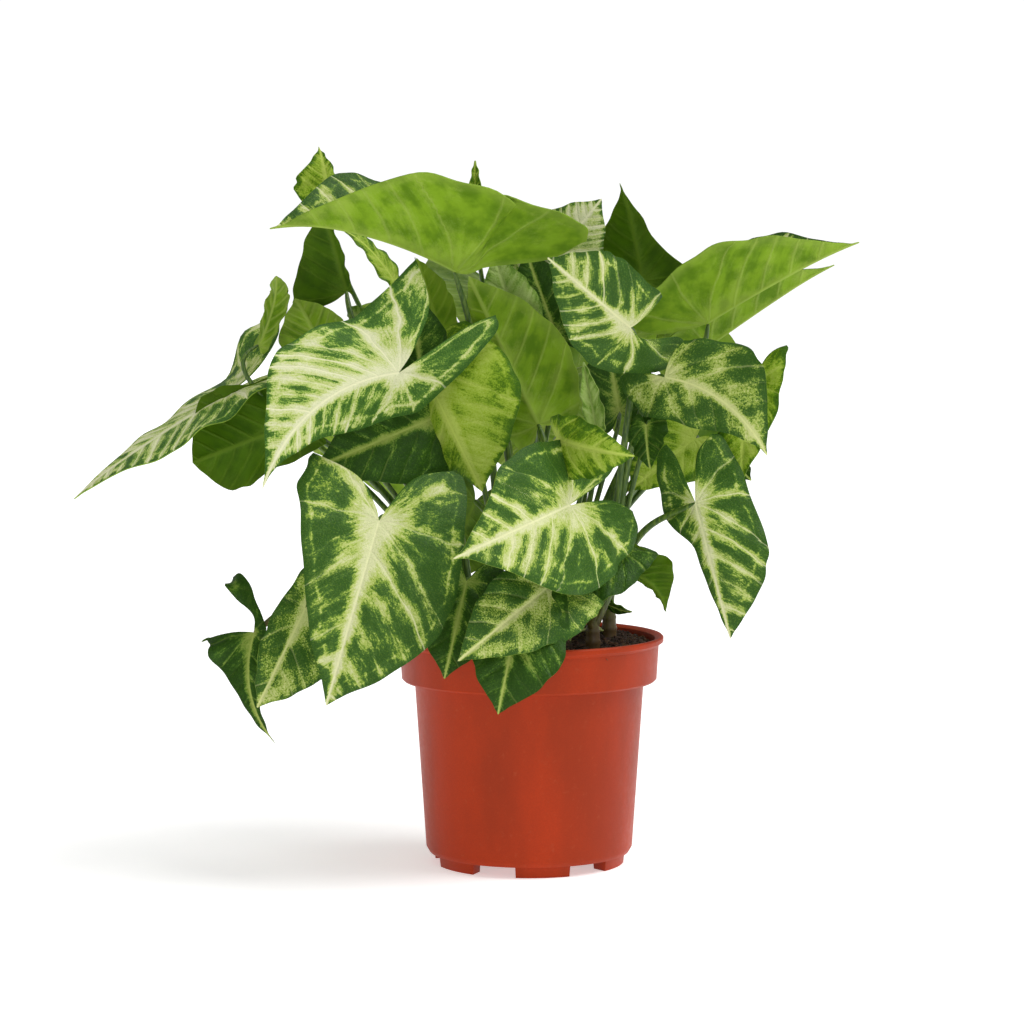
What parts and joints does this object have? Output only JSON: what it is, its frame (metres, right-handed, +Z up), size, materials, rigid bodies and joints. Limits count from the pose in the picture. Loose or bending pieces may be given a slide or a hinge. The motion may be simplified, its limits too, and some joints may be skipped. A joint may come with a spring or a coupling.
{
  "type": "arrowhead plant",
  "caption": "Potted arrowhead plant: bushy variegated arrow-shaped leaves on slender stalks over dark soil in a plain terracotta-coloured round nursery pot.",
  "frame": {"origin": "on the floor, under the middle of the whole plant's bounding box", "axes": "+Z up, +X along the plant's greatest width to the right as seen from its front, -Y towards the front, where the large leaves hang over the rim"},
  "size_m": [0.3404, 0.228, 0.3193],
  "materials": {
    "pot": "terracotta-coloured polypropylene, fine satin grain",
    "soil": "dark crumbly peat",
    "foliage": "waxy leaves, dark green with cream and yellow-green veins",
    "sprout": "pale young shoot"
  },
  "bodies": {
    "root": {"pot": "pot", "soil": "soil", "sprout": "sprout", "plantlet_front_left": "foliage", "plantlet_front": "foliage", "plantlet_front_right": "foliage", "plantlet_left": "foliage", "plantlet_middle_left": "foliage", "plantlet_middle_right": "foliage", "plantlet_right": "foliage", "plantlet_back_right": "foliage", "plantlet_back": "foliage", "plantlet_back_left": "foliage"}
  },
  "joints": []
}
